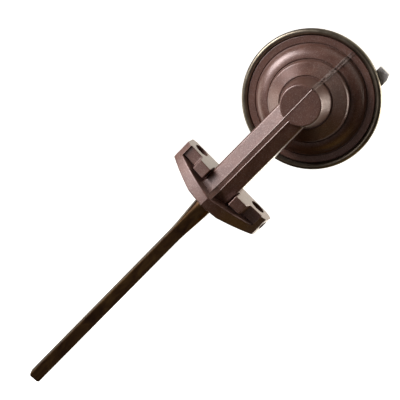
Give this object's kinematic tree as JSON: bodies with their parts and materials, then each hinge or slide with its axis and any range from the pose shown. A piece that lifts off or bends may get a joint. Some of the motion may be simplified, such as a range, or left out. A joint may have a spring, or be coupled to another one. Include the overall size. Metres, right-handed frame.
{
  "type": "window crank operator",
  "caption": "Right-angle crank operator: square drive bar, eared flange and stem, bell-shaped gear dish with a steel rim, and an output hub behind it.",
  "frame": {"origin": "on the drive bar's axis, in the plane of the two flange pads, midway between the screw holes", "axes": "+Z along the drive bar towards the dish, -Y towards the boss face and +Y out of the output hub, X across the flange's ears"},
  "size_m": [0.09, 0.0836, 0.303],
  "materials": {
    "cast_brown": "brown bronze-effect coating on a die casting, satin with a fine metallic grain",
    "bar_brown": "golden-brown chromated steel, satin, slightly mottled",
    "rolled_steel": "olive-grey plated sheet steel with a bright rolled edge",
    "bright_zinc": "bright zinc plate",
    "turned_steel": "turned and zinc plated",
    "gear_steel": "machined, lightly oiled",
    "dark_steel": "black oxide",
    "bush_bronze": "sintered bronze, oiled",
    "dark_rubber": "matt black nitrile"
  },
  "bodies": {
    "housing": {"gear_housing": "cast_brown", "lower_bush": "bush_bronze", "upper_bush": "bush_bronze", "boss_bush": "bush_bronze", "dust_seal": "dark_rubber", "brake_drum": "gear_steel", "output_bush": "bush_bronze", "cover_gasket": "dark_rubber", "back_cup": "rolled_steel", "cover_screws": "bright_zinc", "output_bearing": "turned_steel", "bearing_rivets": "turned_steel", "anchor_bracket": "bright_zinc", "bracket_rivets": "bright_zinc"},
    "drive": {"drive_bar": "bar_brown", "bevel_pinion": "gear_steel", "pinion_pin": "gear_steel", "collar_washer": "bush_bronze", "pinion_washer": "bush_bronze"},
    "output": {"output_shaft": "gear_steel", "bevel_gear": "gear_steel", "gear_key": "gear_steel", "gear_circlip": "dark_steel", "brake_hub": "gear_steel", "brake_pin": "gear_steel", "brake_spring": "dark_steel", "thrust_washer": "bush_bronze", "output_hub": "turned_steel", "hub_pin": "gear_steel", "hub_set_screw": "dark_steel"}
  },
  "joints": [
    {"name": "output_turn", "type": "hinge", "parent": "housing", "child": "output", "pos_m": [0, 0, 0.067], "axis": [0, 1, 0], "continuous": true},
    {"name": "drive_bar_turn", "type": "hinge", "parent": "housing", "child": "drive", "pos_m": [0, 0, 0], "axis": [0, 0, 1], "continuous": true}
  ],
  "couplings": [
    {"joint": "drive_bar_turn", "follows": "output_turn", "ratio": 2}
  ]
}
